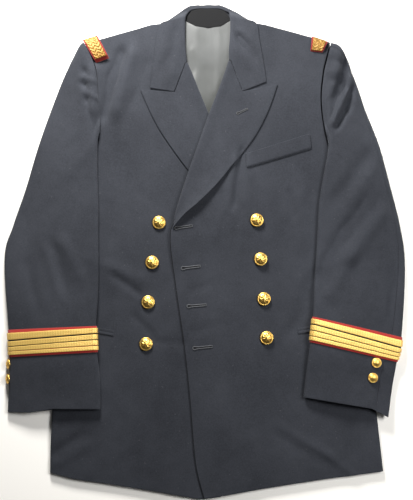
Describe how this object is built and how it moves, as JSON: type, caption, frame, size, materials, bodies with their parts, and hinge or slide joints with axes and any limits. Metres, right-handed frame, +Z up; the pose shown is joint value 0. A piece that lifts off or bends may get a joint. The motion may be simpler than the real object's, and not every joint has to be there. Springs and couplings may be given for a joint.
{
  "type": "military blazer laid flat",
  "caption": "Navy double-breasted military blazer laid flat and open, with peak lapels, gilt buttons, gold lace cuff stripes on red felt and gold shoulder loops.",
  "frame": {"origin": "centre of the bounding box in plan, on the surface that the jacket lies on", "axes": "+Z up, out of the jacket's front; +Y from the hem to the collar; +X to the wearer's left, which is the viewer's right"},
  "size_m": [0.658, 0.816, 0.0238],
  "materials": {
    "navy_twill": "matt wool-blend twill, dark navy",
    "collar_stand_cloth": "matt dark navy twill of the collar stand's inside",
    "grey_lining": "smooth light grey lining with a soft sheen",
    "gold_lace": "woven gold thread lace",
    "red_felt": "matt deep red felt",
    "gilt_button": "polished gilt"
  },
  "bodies": {
    "root": {"back_left": "navy_twill", "back_lining": "grey_lining", "back_right": "navy_twill", "breast_welt": "navy_twill", "button_cuff_1": "gilt_button", "button_cuff_2": "gilt_button", "button_cuff_3": "gilt_button", "button_cuff_4": "gilt_button", "button_front_1": "gilt_button", "button_front_2": "gilt_button", "button_front_3": "gilt_button", "button_front_4": "gilt_button", "button_front_5": "gilt_button", "button_front_6": "gilt_button", "button_front_7": "gilt_button", "button_front_8": "gilt_button", "collar_fall": "navy_twill", "collar_stand": "collar_stand_cloth", "cuff_band_left": "red_felt", "cuff_band_right": "red_felt", "cuff_stripe_left_1": "gold_lace", "cuff_stripe_left_2": "gold_lace", "cuff_stripe_left_3": "gold_lace", "cuff_stripe_left_4": "gold_lace", "cuff_stripe_right_1": "gold_lace", "cuff_stripe_right_2": "gold_lace", "cuff_stripe_right_3": "gold_lace", "cuff_stripe_right_4": "gold_lace", "front_left": "navy_twill", "front_right": "navy_twill", "lapel_left": "navy_twill", "lapel_right": "navy_twill", "loop_edging_left": "red_felt", "loop_edging_right": "red_felt", "loop_lace_left": "gold_lace", "loop_lace_right": "gold_lace", "pocket_jet_left": "navy_twill", "pocket_jet_right": "navy_twill", "sleeve_under_left": "navy_twill", "sleeve_under_right": "navy_twill", "sleeve_upper_left": "navy_twill", "sleeve_upper_right": "navy_twill"}
  },
  "joints": []
}
